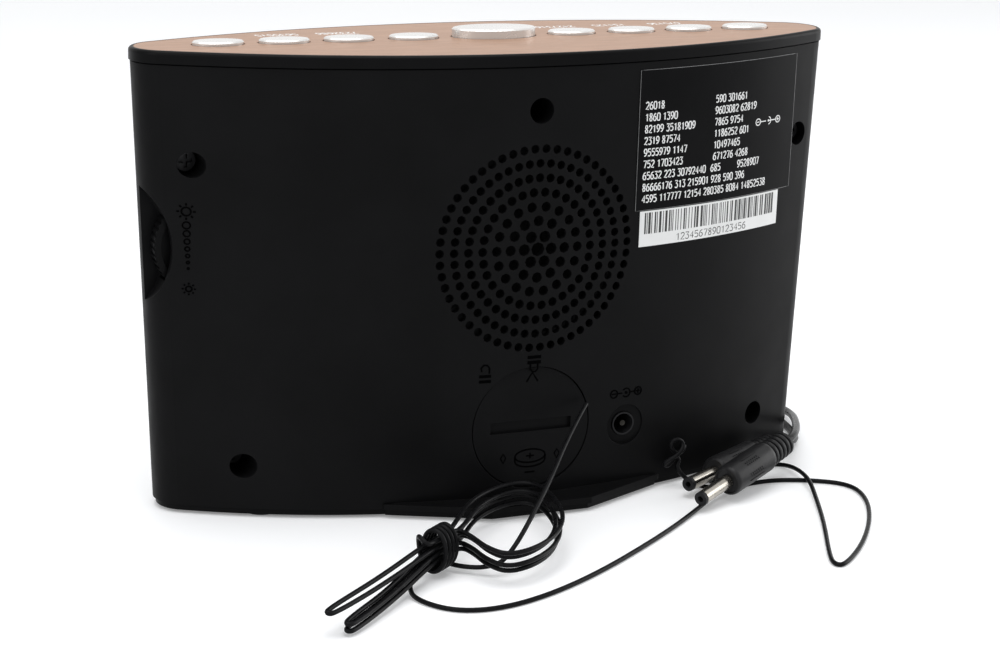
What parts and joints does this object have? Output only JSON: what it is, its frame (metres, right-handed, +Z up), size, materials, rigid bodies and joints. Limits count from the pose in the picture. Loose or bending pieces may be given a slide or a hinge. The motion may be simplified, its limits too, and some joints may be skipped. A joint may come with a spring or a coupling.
{
  "type": "bed shaker alarm clock",
  "caption": "Slim curved bedside alarm clock with a rear loudspeaker grille, top keys, edge dimmer wheel, coin cell door, tied aerial wire and mains adapter with a two-plug lead.",
  "frame": {"origin": "on the surface that the clock stands on, under the middle of the casing and its ledge", "axes": "+Z up; the display faces -Y and the loudspeaker grille faces +Y; X runs along the casing's width"},
  "size_m": [0.219, 0.2045, 0.1315],
  "materials": {
    "charcoal_plastic": "matt, finely textured",
    "black_plastic": "satin",
    "copper_plate": "satin lacquered bronze",
    "silver_key": "satin silver",
    "smoked_window": "clear, smoked",
    "circuit_board": "solder mask",
    "black_component": "moulded",
    "display_segment": "translucent, lit when on",
    "screw_steel": "zinc plated",
    "nickel": "nickel plated",
    "speaker_frame": "black lacquer",
    "ferrite": "sintered",
    "paper_cone": "pressed paper",
    "foam": "closed-cell foam",
    "rubber": "soft",
    "label_black": "printed film",
    "label_white": "paper",
    "cord_black": "soft sheath"
  },
  "bodies": {
    "key_1": {"key_1": "silver_key"},
    "key_2": {"key_2": "silver_key"},
    "key_3": {"key_3": "silver_key"},
    "key_4": {"key_4": "silver_key"},
    "key_5": {"key_5": "silver_key"},
    "key_6": {"key_6": "silver_key"},
    "key_7": {"key_7": "silver_key"},
    "key_8": {"key_8": "silver_key"},
    "snooze_key": {"snooze_key": "silver_key"},
    "dimmer_wheel": {"dimmer_wheel": "black_plastic", "dimmer_spindle": "nickel"},
    "battery_door": {"battery_door": "charcoal_plastic"},
    "clock": {"front_shell": "charcoal_plastic", "rear_shell": "charcoal_plastic", "display_lens": "smoked_window", "top_cover": "black_plastic", "top_plate": "copper_plate", "key_board": "circuit_board", "key_switches": "black_component", "board_screws": "screw_steel", "speaker_gasket": "foam", "speaker_basket": "speaker_frame", "speaker_magnet": "ferrite", "speaker_cone": "paper_cone", "speaker_screws": "screw_steel", "shell_screws": "screw_steel", "cell_holder": "black_component", "coin_cell": "nickel", "cell_contact": "nickel", "supply_socket": "black_component", "supply_socket_pin": "nickel", "power_board": "circuit_board", "aerial_terminal": "black_component", "dimmer_pot": "black_component", "dimmer_board": "circuit_board", "usb_socket": "nickel", "usb_board": "circuit_board", "main_board": "circuit_board", "display_module": "black_component", "display_bars": "display_segment", "shaker_radio_module": "circuit_board", "base_plate": "black_plastic", "rubber_feet": "rubber", "base_screws": "screw_steel", "rating_label": "label_black", "code_label": "label_white", "plug_barrels": "nickel", "plug_tips": "black_component", "near_plug": "cord_black", "far_plug": "cord_black", "near_lead": "cord_black", "far_lead": "cord_black", "lead_joint": "cord_black", "coiled_lead": "cord_black", "mains_adapter": "black_plastic", "adapter_pins": "nickel", "aerial_lead": "cord_black", "aerial_hank": "cord_black", "aerial_wraps": "cord_black", "aerial_end": "cord_black"}
  },
  "joints": [
    {"name": "key_1_press", "type": "slide", "parent": "clock", "child": "key_1", "axis": [0, 0, -1], "range_m": [0, 0.0005], "stiffness_N_per_m": 1200, "springref_m": -0.0005},
    {"name": "key_2_press", "type": "slide", "parent": "clock", "child": "key_2", "axis": [0, 0, -1], "range_m": [0, 0.0005], "stiffness_N_per_m": 1200, "springref_m": -0.0005},
    {"name": "key_3_press", "type": "slide", "parent": "clock", "child": "key_3", "axis": [0, 0, -1], "range_m": [0, 0.0005], "stiffness_N_per_m": 1200, "springref_m": -0.0005},
    {"name": "key_4_press", "type": "slide", "parent": "clock", "child": "key_4", "axis": [0, 0, -1], "range_m": [0, 0.0005], "stiffness_N_per_m": 1200, "springref_m": -0.0005},
    {"name": "key_5_press", "type": "slide", "parent": "clock", "child": "key_5", "axis": [0, 0, -1], "range_m": [0, 0.0005], "stiffness_N_per_m": 1200, "springref_m": -0.0005},
    {"name": "key_6_press", "type": "slide", "parent": "clock", "child": "key_6", "axis": [0, 0, -1], "range_m": [0, 0.0005], "stiffness_N_per_m": 1200, "springref_m": -0.0005},
    {"name": "key_7_press", "type": "slide", "parent": "clock", "child": "key_7", "axis": [0, 0, -1], "range_m": [0, 0.0005], "stiffness_N_per_m": 1200, "springref_m": -0.0005},
    {"name": "key_8_press", "type": "slide", "parent": "clock", "child": "key_8", "axis": [0, 0, -1], "range_m": [0, 0.0005], "stiffness_N_per_m": 1200, "springref_m": -0.0005},
    {"name": "snooze_press", "type": "slide", "parent": "clock", "child": "snooze_key", "axis": [0, 0, -1], "range_m": [0, 0.0008], "stiffness_N_per_m": 1000, "springref_m": -0.0008},
    {"name": "dimmer_turn", "type": "hinge", "parent": "clock", "child": "dimmer_wheel", "pos_m": [0.086, -0.002, 0.0754], "axis": [0, 1, 0], "range_deg": [0, 270]},
    {"name": "battery_door_turn", "type": "hinge", "parent": "clock", "child": "battery_door", "pos_m": [0, 0.0269, 0.0237], "axis": [0, 1, 0], "range_deg": [0, 40]}
  ]
}
